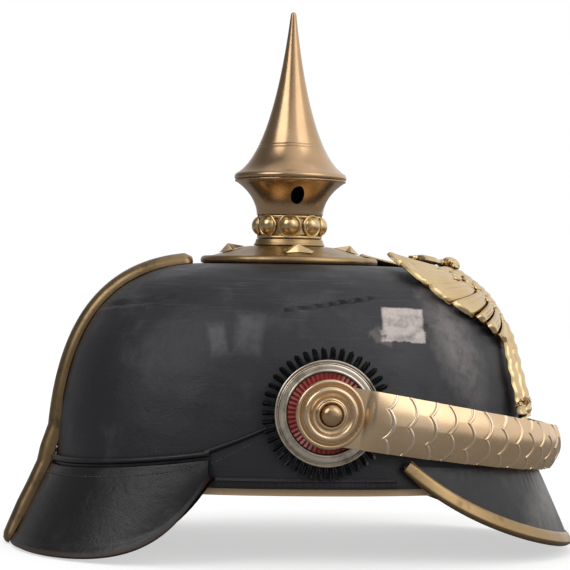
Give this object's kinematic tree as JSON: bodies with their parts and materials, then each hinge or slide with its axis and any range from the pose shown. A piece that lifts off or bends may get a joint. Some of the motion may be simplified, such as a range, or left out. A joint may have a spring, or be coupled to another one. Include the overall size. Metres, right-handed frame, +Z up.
{
  "type": "spiked leather helmet",
  "caption": "Spiked leather parade helmet with front and rear visors, eagle plate, side cockades and brass chin scales that swing on rosette posts.",
  "frame": {"origin": "middle of the footprint, on the floor that the visors' edges stand on", "axes": "+X to the front of the helmet, +Y to the wearer's left, +Z up along the spike"},
  "size_m": [0.26, 0.2048, 0.2442],
  "materials": {
    "black_leather": "waxed and worn",
    "tan_leather": "natural, darkened by wear",
    "brass": "aged satin",
    "gilt": "worn fire gilding",
    "tombak": "brushed satin",
    "silver": "worn silver plate",
    "red_paint": "satin lacquer",
    "black_paint": "gloss lacquer"
  },
  "bodies": {
    "helmet": {"skull": "black_leather", "front_visor": "black_leather", "front_visor_trim": "brass", "rear_visor": "black_leather", "rear_visor_welt": "black_leather", "rim_strip": "black_leather", "side_seams": "black_leather", "rear_spine": "brass", "base_plate": "brass", "backing_plate": "brass", "star_studs": "gilt", "star_nuts": "brass", "spike_socket": "brass", "beaded_ring": "gilt", "eagle_plate": "gilt", "plate_posts": "brass", "plate_nuts": "brass", "right_post": "brass", "left_post": "brass", "right_post_nut": "brass", "left_post_nut": "brass", "right_washer": "black_leather", "left_washer": "black_leather", "right_outer_cockade": "black_paint", "left_outer_cockade": "black_paint", "right_silver_ring": "silver", "left_silver_ring": "silver", "right_inner_cockade": "red_paint", "left_inner_cockade": "black_paint", "sweatband": "tan_leather", "lining_tongues": "tan_leather"},
    "chin_scales": {"right_scales": "tombak", "left_scales": "tombak", "right_strap": "black_leather", "left_strap": "black_leather", "right_rosette": "tombak", "left_rosette": "tombak", "buckle": "brass", "buckle_prong": "brass"},
    "spike_unit": {"spike": "tombak", "spike_neck": "tombak"}
  },
  "joints": [
    {"name": "chin_scales_swing", "type": "hinge", "parent": "helmet", "child": "chin_scales", "pos_m": [0.003, 0, 0.0652], "axis": [0, -1, 0], "range_deg": [0, 75]},
    {"name": "spike_lift", "type": "slide", "parent": "helmet", "child": "spike_unit", "axis": [0, 0, 1], "range_m": [0, 0.06]}
  ]
}
